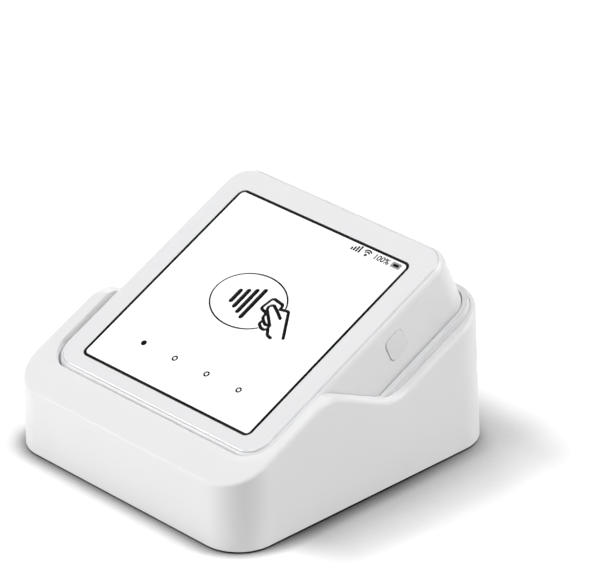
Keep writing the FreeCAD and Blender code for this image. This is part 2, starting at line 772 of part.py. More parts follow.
def make_stand_shell():
    outer = stand_body(0, 0)
    outer = outer.makeFillet(rim_edge_radius, rim_edges(outer))
    hollow = stand_body(shell_wall, rim_thickness)
    below = Part.makeBox(cut_reach, cut_reach, cut_reach,
                         Vec(-cut_reach / 2, -cut_reach / 2, tray_under - cut_reach))
    ahead = Part.makeBox(cut_reach, cut_reach, 2 * cut_reach,
                         Vec(-cut_reach / 2, -pocket_half - skirt_wall - cut_reach, -cut_reach))
    hollow = hollow.common(face_to_part(below.fuse(ahead)))
    lowered = hollow.common(Part.makeBox(cut_reach, cut_reach, 1,
                                         Vec(-cut_reach / 2, -cut_reach / 2, shell_bottom)))
    lowered.translate(Vec(0, 0, -1))
    pocket_upper = rounded_square(pocket_half, pocket_corner, ledge_level - 1, rim_rise + 5)
    pocket_lower = rounded_square(shell_pocket_half, tray_corner + tray_gap, well_floor,
                                  ledge_level)
    mouth = around_square(mouth_section(), pocket_half, pocket_corner)
    shell = outer.cut(hollow).cut(lowered)
    shell = cut_all(shell, [face_to_part(pocket_upper)])
    shell = cut_all(shell, [face_to_part(pocket_lower)])
    shell = cut_all(shell, [face_to_part(mouth)])
    limit = stand_body(shell_wall / 2, rim_thickness / 2)
    bosses = [rod(shell_boss_radius, base_top, shell_boss_top(y), x, y).common(limit)
              for x, y in shell_boss_places()]
    pilots = [rod(screw_radius + thread_gap, base_top, base_top + base_screw_length, x, y)
              for x, y in shell_boss_places()]
    height, mouth_y = inlet_axis()
    opening = rounded_block(plug_opening[0], plug_opening[1], plug_corner, 0, cut_reach)
    opening.rotate(Vec(0, 0, 0), X_AXIS, -90)
    opening.translate(Vec(0, mouth_y, height))
    return cut_all(fuse_all([shell] + bosses), pilots + [opening])


def leg_places():
    return [(side * leg_half_spacing, level + face_place)
            for side in (-1, 1) for level in (front_leg_place, rear_leg_place)]


def make_cradle_tray():
    tray = rounded_square(tray_half, tray_corner, tray_under, -lip_depth)
    lower = [edge for edge in tray.Edges if edge.BoundBox.ZMax < tray_under + 0.01]
    tray = tray.makeFillet(tray_edge_radius, lower)
    hollow = rounded_square(pocket_half, pocket_corner, seat_level, -lip_depth + 1)
    window = block((holder_size[0] + 2 * base_gap, holder_size[1] + 2 * base_gap, tray_floor + 2),
                   0, pad_place, tray_under - 1)
    pilot_end = tray_under + holder_screw_bite + holder_screw_end_gap
    pilots = [rod(screw_radius + thread_gap, tray_under, pilot_end, x, pad_place)
              for x in (-holder_screw_place, holder_screw_place)]
    tray = face_to_part(cut_all(tray, [hollow, window] + pilots))
    trim = face_to_part(rounded_square(pocket_half, pocket_corner, tray_under - cut_reach,
                                       tray_under + tray_floor / 2))
    legs = [rod(leg_radius, base_top, face_height + tray_half, x, y).common(trim)
            for x, y in leg_places()]
    bores = [rod(screw_radius + thread_gap, base_top, leg_bore_top(y), x, y)
             for x, y in leg_places()]
    return cut_all(fuse_all([tray] + legs), bores)


def leg_bore_top(y):
    """End of a leg's screw hole, which stays below the tray's floor."""
    roof = plane_height(y - face_place - leg_radius, tray_under) + tray_floor / 2
    return min(base_top + base_screw_length, roof)


def base_outline(low, high, margin, radius_front, radius_rear):
    front = front_level + face_place + margin
    rear = rear_level + face_place - margin
    body = Part.makeBox(2 * (shell_half - margin), rear - front, high - low,
                        Vec(-(shell_half - margin), front, low))
    front_edges = [edge for edge in body.Edges if edge.BoundBox.ZLength > (high - low) / 2
                   and edge.BoundBox.YMax < 0]
    body = body.makeFillet(radius_front, front_edges)
    rear_edges = [edge for edge in body.Edges if edge.BoundBox.ZLength > (high - low) / 2
                  and edge.BoundBox.YMin > 0 and edge.BoundBox.YLength < 0.01]
    return body.makeFillet(radius_rear, rear_edges)


def base_margin():
    lean = math.tan(math.radians(rear_lean)) * (base_top - shell_bottom)
    return shell_wall / math.cos(math.radians(rear_lean)) + base_gap + lean


def charging_board_middle():
    mouth_y = inlet_axis()[1]
    return mouth_y - charging_board_size[1] / 2 - base_gap


def charging_post_places():
    half_x = charging_board_size[0] / 2 - charging_post_inset
    half_y = charging_board_size[1] / 2 - charging_post_inset
    return [(x, y + charging_board_middle()) for x, y in four_corners(half_x, half_y)]


def make_base_plate():
    margin = base_margin()
    plate = base_outline(base_under, base_top, margin, front_corner - shell_wall - base_gap,
                         rear_corner - shell_wall - base_gap)
    recess = base_outline(base_under - 1, foot_thickness, foot_margin - base_gap,
                          foot_corner + base_gap, foot_corner + base_gap)
    posts = [rod(charging_post_radius, base_top, base_top + charging_board_post, x, y)
             for x, y in charging_post_places()]
    width, depth, height = ballast_size
    centre = ballast_place + face_place
    outer = block((width + 2 * ballast_rib + 2 * base_gap, depth + 2 * ballast_rib + 2 * base_gap,
                   height / 2), 0, centre, base_top)
    inner = block((width + 2 * base_gap, depth + 2 * base_gap, height), 0, centre, base_top)
    holes = [rod(screw_radius + screw_clearance, 0, base_top + 1, x, y)
             for x, y in shell_boss_places() + leg_places()]
    heads = [rod(screw_head_radius + screw_clearance, 0, base_head_seat(), x, y)
             for x, y in shell_boss_places() + leg_places()]
    pilots = [rod(screw_radius + thread_gap, foot_thickness + charging_post_floor,
                  base_top + charging_board_post, x, y) for x, y in charging_post_places()]
    return cut_all(fuse_all([plate] + posts + [outer.cut(inner)]), [recess] + holes + heads + pilots)


def base_head_seat():
    return foot_thickness + screw_head_height + base_gap


def make_base_screws():
    return [screw(base_screw_length, x, y, base_head_seat()) for x, y in shell_boss_places()]


def make_tray_screws():
    return [screw(leg_bore_top(y) - base_head_seat() - screw_end_gap, x, y, base_head_seat())
            for x, y in leg_places()]


def make_foot_pad():
    return base_outline(0, foot_thickness, foot_margin, foot_corner, foot_corner)


def make_ballast_plate():
    return block(ballast_size, 0, ballast_place + face_place, base_top)


def make_charging_board():
    level = base_top + charging_board_post
    board = block(charging_board_size, 0, charging_board_middle(), level)
    holes = [rod(screw_radius + screw_clearance, level - 1, level + charging_board_size[2] + 1, x, y)
             for x, y in charging_post_places()]
    return cut_all(board, holes)


def make_charging_board_screws():
    level = base_top + charging_board_post + charging_board_size[2]
    return [screw(board_screw_length, x, y, level, -1) for x, y in charging_post_places()]


def make_stand_usb():
    height, mouth_y = inlet_axis()
    pieces = []
    for part in usb_receptacle():
        part.translate(Vec(0, mouth_y, height))
        pieces.append(part)
    return pieces


# ---- Charging pins, in the face frame ----------------------------------------------------------
tip_level = -reader_thickness + pad_recess - pin_pad_gap
holder_top = tip_level - pin_travel - pin_pad_gap
holder_under = tray_under - holder_length
shoulder_level = holder_top - pin_shoulder
collar_top = shoulder_level - pin_pad_gap
collar_under = collar_top - pin_collar_length
bore_radius = pin_collar_radius + pin_bore_gap


def make_pin_holder():
    body = block((holder_size[0], holder_size[1], holder_top - holder_under), 0, pad_place,
                 holder_under)
    flange = block(holder_flange, 0, pad_place, tray_under - holder_flange[2])
    bores = [rod(bore_radius, holder_under - 1, shoulder_level, x, pad_place)
             for x in pad_places()]
    tips = [rod(pin_tip_radius + pin_bore_gap, shoulder_level - 1, holder_top + 1, x, pad_place)
            for x in pad_places()]
    holes = [rod(screw_radius + screw_clearance, tray_under - holder_flange[2] - 1,
                 tray_under + 1, x, pad_place)
             for x in (-holder_screw_place, holder_screw_place)]
    return cut_all(fuse_all([body, flange]), bores + tips + holes)


def make_holder_screws():
    length = holder_flange[2] + holder_screw_bite
    return [screw(length, x, pad_place, tray_under - holder_flange[2])
            for x in (-holder_screw_place, holder_screw_place)]


def make_charge_pin(x):
    tip = rod(pin_tip_radius, collar_top, tip_level, x, pad_place)
    top = [edge for edge in tip.Edges if edge.BoundBox.ZMin > tip_level - 0.01]
    tip = tip.makeFillet(pin_tip_radius * 0.6, top)
    return tip.fuse(rod(pin_collar_radius, collar_under, collar_top, x, pad_place)).removeSplitter()


def make_pin_spring(x):
    low = holder_under + spring_wire / 2 + spring_end_gap
    high = collar_under - spring_wire / 2 - spring_end_gap
    radius = bore_radius - spring_wire / 2 - pin_bore_gap
    helix = Part.makeHelix((high - low) / spring_turns, high - low, radius)
    helix.translate(Vec(x, pad_place, low))
    section = Part.Wire(Part.makeCircle(spring_wire / 2, Vec(x + radius, pad_place, low), Y_AXIS))
    return Part.Wire(helix.Edges).makePipeShell([section], True, True)


def make_pin_board():
    return block((holder_size[0], holder_size[1], pin_board_thickness), 0, pad_place,
                 holder_under - pin_board_thickness)


def make_lead_ribbon():
    """Flat lead that leaves the pin board square, bends upright and drops to the charging board."""
    start_level, start_height = slope_point(pad_place, holder_under - pin_board_thickness)
    start = Vec(0, start_level + face_place, start_height)
    away = Vec(0, math.sin(tilt), -math.cos(tilt))
    corner = start + away * ribbon_bend
    end = Vec(0, corner.y, base_top + charging_board_post + charging_board_size[2])
    down = Vec(0, 0, -1)
    turn = away.getAngle(down)
    reach = ribbon_bend * 0.8
    radius = reach / math.tan(turn / 2)
    side = (down - away).normalize()
    centre = corner + side * (radius / math.cos(turn / 2))
    bend_start = corner - away * reach
    bend_end = corner + down * reach
    middle = centre - side * radius
    path = Part.Wire([Part.makeLine(start, bend_start),
                      Part.Arc(bend_start, middle, bend_end).toShape(),
                      Part.makeLine(bend_end, end)])
    across = away.cross(X_AXIS).normalize() * (ribbon_thickness / 2)
    wide = X_AXIS * (ribbon_width / 2)
    corners = [start + across + wide, start + across - wide, start - across - wide,
               start - across + wide]
    section = Part.makePolygon(corners + corners[:1])
    return path.makePipeShell([section], True, False)


# ---- Write every piece --------------------------------------------------------------------------
def save(name, shapes, tilted=False):
    solids = shapes if isinstance(shapes, list) else [shapes]
    if tilted:
        solids = [face_to_part(solid) for solid in solids]
    shape = solids[0] if len(solids) == 1 else Part.makeCompound(solids)
    if not shape.isValid():
        raise ValueError(name + " is not a valid shape")
    shape.exportStep("parts/" + name + ".step")
    print(name, len(shape.Solids), round(shape.Volume, 2))


def build_reader():
    save("cover_glass", make_cover_glass(), True)
    save("glass_gasket", make_glass_gasket(), True)
    save("bezel_mask", make_bezel_mask(), True)
    save("display_panel", make_panel_layer(panel_under, panel_top), True)
    save("display_backlight", make_panel_layer(backlight_under, panel_under), True)
    save("antenna_coil", make_antenna_coil(), True)
    save("display_chassis", make_display_chassis(), True)
    save("reader_housing", make_reader_housing(), True)
    save("back_cover", make_back_cover(), True)
    save("back_screws", make_back_screws(), True)
    save("main_board", make_main_board(), True)
    save("board_screws", make_board_screws(), True)
    save("shield_can", make_shield_can(), True)
    save("sim_holder", make_sim_holder(), True)
    save("power_switch", make_power_switch(), True)
    save("switch_plunger", make_switch_plunger(), True)
    save("power_button", make_power_button(), True)
    save("chip_reader", make_chip_reader(), True)
    save("chip_contacts", make_chip_contacts(), True)
    save("battery_pack", make_battery_pack(), True)
    save("speaker", make_speaker(), True)
    for name, part in zip(("reader_usb_shell", "reader_usb_tongue"), make_reader_usb()):
        save(name, part, True)
    save("charge_pads", make_charge_pads(), True)
    save("pad_board", block(pad_board_size, 0, pad_place, cover_inside), True)


def build_stand():
    save("stand_shell", make_stand_shell())
    save("cradle_tray", make_cradle_tray())
    save("tray_screws", make_tray_screws())
    save("base_plate", make_base_plate())
    save("base_screws", make_base_screws())
    save("foot_pad", make_foot_pad())
    save("ballast_plate", make_ballast_plate())
    save("charging_board", make_charging_board())
    save("charging_board_screws", make_charging_board_screws())
    for name, part in zip(("stand_usb_shell", "stand_usb_tongue"), make_stand_usb()):
        save(name, part)
    save("pin_holder", make_pin_holder(), True)
    save("holder_screws", make_holder_screws(), True)
    for number, x in enumerate(pad_places(), start=1):
        save("charge_pin_%d" % number, make_charge_pin(x), True)
        save("pin_spring_%d" % number, make_pin_spring(x), True)
    save("pin_board", make_pin_board(), True)
    save("lead_ribbon", make_lead_ribbon())


os.makedirs("parts", exist_ok=True)
build_reader()
build_stand()
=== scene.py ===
import json
import math
import bmesh
import bpy
from mathutils import Matrix, Vector

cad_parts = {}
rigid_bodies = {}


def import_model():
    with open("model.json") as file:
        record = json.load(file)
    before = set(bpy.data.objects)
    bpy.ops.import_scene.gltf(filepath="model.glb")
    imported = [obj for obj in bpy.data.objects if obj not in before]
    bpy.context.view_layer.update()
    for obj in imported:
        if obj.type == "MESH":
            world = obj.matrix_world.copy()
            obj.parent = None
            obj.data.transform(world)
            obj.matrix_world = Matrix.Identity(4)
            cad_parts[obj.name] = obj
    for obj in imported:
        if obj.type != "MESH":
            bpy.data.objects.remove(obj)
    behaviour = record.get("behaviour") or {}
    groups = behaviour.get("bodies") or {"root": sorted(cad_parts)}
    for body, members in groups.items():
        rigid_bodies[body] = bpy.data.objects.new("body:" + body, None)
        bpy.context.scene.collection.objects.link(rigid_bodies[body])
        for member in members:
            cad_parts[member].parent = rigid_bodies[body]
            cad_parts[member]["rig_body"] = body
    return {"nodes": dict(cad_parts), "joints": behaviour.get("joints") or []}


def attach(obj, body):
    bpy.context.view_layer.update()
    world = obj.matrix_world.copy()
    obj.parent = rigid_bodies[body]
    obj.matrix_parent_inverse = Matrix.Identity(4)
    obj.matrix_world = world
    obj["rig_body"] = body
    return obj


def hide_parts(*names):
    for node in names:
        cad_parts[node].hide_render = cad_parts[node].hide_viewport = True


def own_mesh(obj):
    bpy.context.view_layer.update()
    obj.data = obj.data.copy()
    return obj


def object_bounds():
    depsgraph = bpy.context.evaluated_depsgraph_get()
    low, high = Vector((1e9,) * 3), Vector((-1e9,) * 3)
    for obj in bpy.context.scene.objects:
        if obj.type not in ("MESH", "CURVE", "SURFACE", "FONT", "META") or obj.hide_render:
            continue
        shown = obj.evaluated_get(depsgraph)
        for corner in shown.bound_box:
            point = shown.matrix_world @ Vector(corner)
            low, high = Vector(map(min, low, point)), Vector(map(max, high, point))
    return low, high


# card payment terminal: a touch-screen reader in white moulded plastic, standing in its charging stand
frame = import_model()
cadLow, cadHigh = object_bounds()
nodes = frame["nodes"]
scene = bpy.context.scene
millimetre = 0.001
print("frame loaded,", len(nodes), "nodes")

# the face's own directions: x across the glass, y up its slope, z out of it
faceOut = next(Vector(joint["axis"]) for joint in frame["joints"] if joint["name"] == "reader_lift").normalized()
faceUp = Vector((0, faceOut.z, -faceOut.y))
slopeAngle = math.atan2(-faceOut.y, faceOut.z)


def spreadAlong(nodeName, direction):
    reach = [direction.dot(corner.co) for corner in nodes[nodeName].data.vertices]
    return min(reach), max(reach)


glassLow, glassHigh = spreadAlong("cover_glass", faceUp)
faceMiddle = faceUp * (glassLow + glassHigh) / 2 + faceOut * spreadAlong("cover_glass", faceOut)[1]
facePlace = Matrix.Translation(faceMiddle) @ Matrix.Rotation(slopeAngle, 4, "X") @ Matrix.Scale(millimetre, 4)


def linearColour(hexCode):
    shares = [int(hexCode[start:start + 2], 16) / 255 for start in (1, 3, 5)]
    return (*[share / 12.92 if share <= 0.04045 else ((share + 0.055) / 1.055) ** 2.4 for share in shares], 1.0)


# an input takes a value, a socket, a node for its first live output, or a list that joins in one socket
def fillInputs(tree, node, inputs):
    for name, given in inputs.items():
        for value in given if isinstance(given, list) else [given]:
            if isinstance(value, bpy.types.Node):
                value = next(socket for socket in value.outputs if socket.enabled)
            if isinstance(value, bpy.types.NodeSocket):
                tree.links.new(value, node.inputs[name])
            else:
                node.inputs[name].default_value = value


def addNode(tree, kind, inputs=None, **settings):
    node = tree.nodes.new(kind)
    for name, value in settings.items():
        setattr(node, name, value)
    fillInputs(tree, node, inputs or {})
    return node


def newPiece(name, mesh):
    piece = bpy.data.objects.new(name, mesh)
    scene.collection.objects.link(piece)
    return piece


def freezeModifiers(piece):
    graph = bpy.context.evaluated_depsgraph_get()
    mesh = bpy.data.meshes.new_from_object(piece.evaluated_get(graph))
    piece.modifiers.clear()
    piece.data = mesh
    return piece


def settle(piece, body, slotName, *replaced):
    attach(piece, body)
    if replaced:
        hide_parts(*replaced)


# every material has its pattern on Object coordinates, turned with the face where it follows the face
def startMaterial(name, shaderInputs, turned=False, stretch=(1, 1, 1)):
    material = bpy.data.materials.new(name)
    material.use_nodes = True
    tree = material.node_tree
    tree.nodes.clear()
    shader = addNode(tree, "ShaderNodeBsdfPrincipled", shaderInputs)
    addNode(tree, "ShaderNodeOutputMaterial", {"Surface": shader})
    place = addNode(tree, "ShaderNodeTexCoord").outputs["Object"]
    turn = (-slopeAngle if turned else 0, 0, 0)
    return material, tree, shader, addNode(tree, "ShaderNodeMapping", {"Vector": place, "Rotation": turn,
                                                                       "Scale": stretch})


def perMillimetres(size):
    return 1 / (size * millimetre)


def waveScale(pitch):
    return math.tau / (20 * pitch * millimetre)      # a wave texture counts 20 radians to its unit


# colour and roughness run from a first to a second value with the pattern, and the relief rises with it
def followPattern(tree, shader, pattern, colours=None, roughness=None, reliefMm=None):
    followed = {}
    if colours:
        first, second = [linearColour(hexCode) for hexCode in colours]
        followed["Base Color"] = addNode(tree, "ShaderNodeMix", {0: pattern, 6: first, 7: second},
                                         data_type="RGBA")
    if roughness:
        followed["Roughness"] = addNode(tree, "ShaderNodeMapRange", {"Value": pattern, "To Min": roughness[0],
                                                                     "To Max": roughness[1]})
    if reliefMm:
        followed["Normal"] = addNode(tree, "ShaderNodeBump", {"Height": pattern, "Strength": 1.0,
                                                              "Distance": reliefMm * millimetre})
    fillInputs(tree, shader, followed)


# moulded thermoplastic: a satin spark-eroded skin that spreads highlights, hardly any tone of its own
def mouldedPlastic(name, light, dark, roughness, grainMm=0.5, reliefMm=0.0035, toneMm=22, spread=0.05):
    material, tree, shader, place = startMaterial(name, {"IOR": 1.53})
    tone = addNode(tree, "ShaderNodeTexNoise", {"Vector": place, "Scale": perMillimetres(toneMm), "Detail": 2.0})
    grain = addNode(tree, "ShaderNodeTexNoise", {"Vector": place, "Scale": perMillimetres(grainMm),
                                                 "Detail": 3.0})
    followPattern(tree, shader, tone, (dark, light))
    followPattern(tree, shader, grain, roughness=(roughness - spread, roughness + spread), reliefMm=reliefMm)
    return material


# bare or plated metal: marks of rolling, turning or casting break up its highlights
def workedMetal(name, light, dark, roughness, lineMm, reliefMm, stretch=(1, 1, 1)):
    material, tree, shader, place = startMaterial(name, {"Metallic": 1.0}, stretch=stretch)
    lines = addNode(tree, "ShaderNodeTexNoise", {"Vector": place, "Scale": perMillimetres(lineMm),
                                                 "Detail": 4.0})
    followPattern(tree, shader, lines, (dark, light), (roughness - 0.08, roughness + 0.1), reliefMm)
    return material


# ceramic ink and lit display cells behind hard glass: flat colour under a sharp clear gloss
def printedGlass(name, light, dark, emission=0.0, gloss=0.5, toneMm=9):
    material, tree, shader, place = startMaterial(
        name, {"IOR": 1.51, "Roughness": 0.07, "Specular IOR Level": gloss, "Coat Weight": 0.8 * gloss,
               "Coat Roughness": 0.03, "Emission Color": (1, 1, 1, 1), "Emission Strength": emission}, turned=True)
    ink = addNode(tree, "ShaderNodeTexNoise", {"Vector": place, "Scale": perMillimetres(toneMm), "Detail": 2.0})
    followPattern(tree, shader, ink, (dark, light))
    return material


# closed-cell foam: matt black with small open pores
def urethaneFoam(poreMm=0.35):
    material, tree, shader, place = startMaterial("gasket_urethane_foam", {"Roughness": 0.95})
    pores = addNode(tree, "ShaderNodeTexVoronoi", {"Vector": place, "Scale": perMillimetres(poreMm)})
    followPattern(tree, shader, pores, ("#0d0d0d", "#2a2a2b"), reliefMm=0.05)
    return material


# bonded liquid-crystal glass: near-black gloss with a faint grid of cells, drawn coarser than the real one
def crystalPanel(cellMm=0.5):
    material, tree, shader, place = startMaterial("display_crystal_glass", {"Roughness": 0.12, "IOR": 1.51},
                                                  turned=True)
    grid = addNode(tree, "ShaderNodeTexBrick", {"Vector": place, "Scale": perMillimetres(1),
                                                "Color1": linearColour("#101114"),
                                                "Color2": linearColour("#15161a"),
                                                "Mortar": linearColour("#050506"), "Mortar Size": 0.04,
                                                "Brick Width": cellMm, "Row Height": cellMm}, offset=0.0)
    fillInputs(tree, shader, {"Base Color": grid})
    return material


# acrylic light guide: milky sheet with a lattice of printed scattering dots
def acrylicGuide(dotPitchMm=0.8, dotShare=0.28):
    material, tree, shader, place = startMaterial("light_guide_acrylic", {"Roughness": 0.3, "IOR": 1.49},
                                                  turned=True)
    dots = addNode(tree, "ShaderNodeTexVoronoi", {"Vector": place, "Randomness": 0.0,
                                                  "Scale": perMillimetres(dotPitchMm)})
    spot = addNode(tree, "ShaderNodeMath", {0: dots, 1: dotShare}, operation="LESS_THAN")
    followPattern(tree, shader, spot, ("#e6e8ea", "#fafafa"))
    return material


# etched copper lines at an even pitch under solder resist or polyimide: glossy stripes, a little raised
def etchedFilm(name, lines, ground, pitchMm, roughness, lineShare=0.55):
    material, tree, shader, place = startMaterial(name, {"IOR": 1.6, "Coat Weight": 0.3}, turned=True)
    wave = addNode(tree, "ShaderNodeTexWave", {"Vector": place, "Scale": waveScale(pitchMm), "Distortion": 0.0},
                   bands_direction="X", wave_profile="SIN").outputs["Fac"]
    trace = addNode(tree, "ShaderNodeMath", {0: wave, 1: lineShare}, operation="GREATER_THAN")
    followPattern(tree, shader, trace, (ground, lines), (roughness, roughness - 0.12))
    followPattern(tree, shader, wave, reliefMm=0.02)
    return material


# laminated pouch of a lithium cell: dark satin foil with soft creases
def pouchFoil(creaseMm=5):
    material, tree, shader, place = startMaterial("battery_pouch_foil", {"Metallic": 0.6})
    creases = addNode(tree, "ShaderNodeTexNoise", {"Vector": place, "Scale": perMillimetres(creaseMm),
                                                   "Detail": 5.0})
    followPattern(tree, shader, creases, ("#26282c", "#3a3d42"), (0.3, 0.5), reliefMm=0.15)
    return material


# moulded silicone foot: dark, dry and slightly dusty, with fine slanting ribs
def footSilicone(toneMm=6, ribMm=1.6):
    material, tree, shader, place = startMaterial("foot_silicone_rubber", {"Roughness": 0.8, "IOR": 1.43,
                                                                           "Sheen Weight": 0.2})
    tone = addNode(tree, "ShaderNodeTexNoise", {"Vector": place, "Scale": perMillimetres(toneMm), "Detail": 3.0})
    ribs = addNode(tree, "ShaderNodeTexWave", {"Vector": place, "Scale": waveScale(ribMm), "Distortion": 0.0},
                   bands_direction="DIAGONAL").outputs["Fac"]
    followPattern(tree, shader, tone, ("#2a2a2c", "#36363a"))
    followPattern(tree, shader, ribs, reliefMm=0.08)
    return material


shellAbs = mouldedPlastic("shell_moulded_abs", "#eeeeef", "#ebebec", 0.42)                         # satin white
housingAbs = mouldedPlastic("housing_moulded_abs", "#eeeeef", "#ebebec", 0.38, 0.45, 0.003)        # a finer skin
trayAbs = mouldedPlastic("tray_moulded_abs", "#eeeeef", "#ebebec", 0.44)                           # a little duller
buttonAbs = mouldedPlastic("button_moulded_abs", "#e9e9ea", "#e5e5e6", 0.36, 0.4, 0.003)           # a shade darker
baseAbs = mouldedPlastic("base_moulded_abs", "#5e5e61", "#565659", 0.55, 0.6, 0.006)               # coarse dark grey underside, darkened also to paint shade into the gap under the stand
inkWhite = mouldedPlastic("bezel_ceramic_ink", "#ededee", "#e9e9eb", 0.6, 0.3, 0.001)              # flat matt print
nylonBlack = mouldedPlastic("connector_glass_filled_nylon", "#1d1d1f", "#141416", 0.5, 0.35, 0.004)  # dry black
glassWhite = printedGlass("cover_glass_white_print", "#ededee", "#ebebed")                         # glossy white
screenWhite = printedGlass("display_lit_white", "#f6f6f6", "#f4f4f4", emission=0.25)               # glowing white
screenBlack = printedGlass("display_black_cells", "#040405", "#020203", gloss=0.05)                # ink black
screenGrey = printedGlass("display_grey_cells", "#323234", "#2c2c2e", gloss=0.08)                  # soft black
screenPale = printedGlass("display_pale_grey_cells", "#a6a6a8", "#9e9ea0", gloss=0.08)             # pale grey
screwSteel = workedMetal("screw_nickel_plated_steel", "#cfcfd1", "#a9a9ad", 0.3, 0.6, 0.002)       # turned bright
stampedSteel = workedMetal("stamped_nickel_plated_steel", "#d4d4d6", "#b4b4b8", 0.26, 0.8, 0.002,
                           stretch=(1, 8, 1))                                                      # rolled lines
castMagnesium = workedMetal("die_cast_magnesium", "#bfc0c3", "#a3a4a8", 0.5, 1.2, 0.012)           # dull pale grey
contactGold = workedMetal("gold_flashed_brass", "#e8c878", "#cfa650", 0.22, 0.4, 0.001)            # warm and bright
springSteel = workedMetal("drawn_spring_steel", "#c9c9cc", "#9d9da2", 0.24, 0.3, 0.001)            # bright as drawn
ballastZinc = workedMetal("zinc_plated_cast_iron", "#9b9c9f", "#77797d", 0.55, 1.5, 0.03)          # rough dull grey

nodeFinishes = {
    "bezel_mask": inkWhite, "glass_gasket": urethaneFoam(), "display_panel": crystalPanel(),
    "display_backlight": acrylicGuide(), "display_chassis": castMagnesium,
    "antenna_coil": etchedFilm("antenna_polyimide_film", "#b87333", "#a3611f", 0.8, 0.4),
    "lead_ribbon": etchedFilm("ribbon_polyimide_film", "#c98a3c", "#b06f17", 1.0, 0.35),
    "battery_pack": pouchFoil(), "ballast_plate": ballastZinc, "foot_pad": footSilicone(),
}
for nodeName, name, pitchMm in (("main_board", "board_green_resist", 0.9), ("pad_board", "pad_board_resist", 0.8),
                                ("charging_board", "charging_board_resist", 1.1),
                                ("pin_board", "pin_board_resist", 0.8)):
    nodeFinishes[nodeName] = etchedFilm(name, "#2f6b45", "#1d5233", pitchMm, 0.45)
for finish, nodeNames in (
        (screwSteel, ("board_screws", "charging_board_screws", "holder_screws", "tray_screws")),
        (stampedSteel, ("shield_can", "sim_holder", "reader_usb_shell", "stand_usb_shell")),
        (nylonBlack, ("reader_usb_tongue", "stand_usb_tongue", "chip_reader", "power_switch", "switch_plunger",
                      "speaker", "pin_holder")),
        (contactGold, ("chip_contacts", "charge_pads", "charge_pin_1", "charge_pin_2", "charge_pin_3",
                       "charge_pin_4"))):
    nodeFinishes.update(dict.fromkeys(nodeNames, finish))
for nodeName, finish in nodeFinishes.items():
    nodes[nodeName].data.materials.clear()
    nodes[nodeName].data.materials.append(finish)
print("materials made")

# moulded parts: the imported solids, welded and shaded smooth
weldLook = {"merge": 2e-6, "sliver": 1e-7, "sharpDegrees": 24}      # metres and degrees
mouldedPieces = [
    ("stand_shell", "standShell", shellAbs, "shell_plastic"),
    ("cradle_tray", "cradleTray", trayAbs, "shell_plastic"),
    ("reader_housing", "readerHousing", housingAbs, "shell_plastic"),
    ("back_cover", "backCover", housingAbs, "shell_plastic"),
    ("power_button", "powerButton", buttonAbs, "button_plastic"),
    ("base_plate", "basePlate", baseAbs, "base_plastic"),
    ("cover_glass", "coverGlass", glassWhite, "cover_glass"),
]
for nodeName, pieceName, material, slotName in mouldedPieces:
    build = bmesh.new()
    build.from_mesh(nodes[nodeName].data)
    bmesh.ops.remove_doubles(build, verts=build.verts, dist=weldLook["merge"])
    bmesh.ops.dissolve_degenerate(build, dist=weldLook["sliver"], edges=build.edges)
    bmesh.ops.recalc_face_normals(build, faces=build.faces)
    for face in build.faces:
        face.smooth = True
    for edge in build.edges:
        edge.smooth = edge.is_manifold and edge.calc_face_angle(0) < math.radians(weldLook["sharpDegrees"])
    mesh = bpy.data.meshes.new(pieceName)
    build.to_mesh(mesh)
    build.free()
    mesh.materials.append(material)
    piece = newPiece(pieceName, mesh)
    piece.modifiers.new("weights", "WEIGHTED_NORMAL").keep_sharp = True
    settle(freezeModifiers(piece), nodes[nodeName]["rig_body"], slotName, nodeName)
print("moulded parts made")


# each Geometry Nodes tree has its sizes and its material as named inputs
def startTree(name, *sizes):
    tree = bpy.data.node_groups.new(name, "GeometryNodeTree")
    tree.interface.new_socket("Geometry", in_out="INPUT", socket_type="NodeSocketGeometry")
    for size in sizes:
        tree.interface.new_socket(size, in_out="INPUT", socket_type="NodeSocketFloat")
    tree.interface.new_socket("Material", in_out="INPUT", socket_type="NodeSocketMaterial")
    tree.interface.new_socket("Geometry", in_out="OUTPUT", socket_type="NodeSocketGeometry")
    return tree, addNode(tree, "NodeGroupInput").outputs


def endTree(tree, given, geometry):
    realized = addNode(tree, "GeometryNodeRealizeInstances", {"Geometry": geometry})
    finished = addNode(tree, "GeometryNodeSetMaterial", {"Geometry": realized, "Material": given["Material"]})
    addNode(tree, "NodeGroupOutput", {"Geometry": finished})
    return tree


def runTree(name, mesh, tree, values):
    piece = newPiece(name, mesh)
    modifier = piece.modifiers.new("shape", "NODES")
    modifier.node_group = tree
    for item in tree.interface.items_tree:
        if item.in_out == "INPUT" and item.name in values:
            modifier[item.identifier] = values[item.name]
    return freezeModifiers(piece)


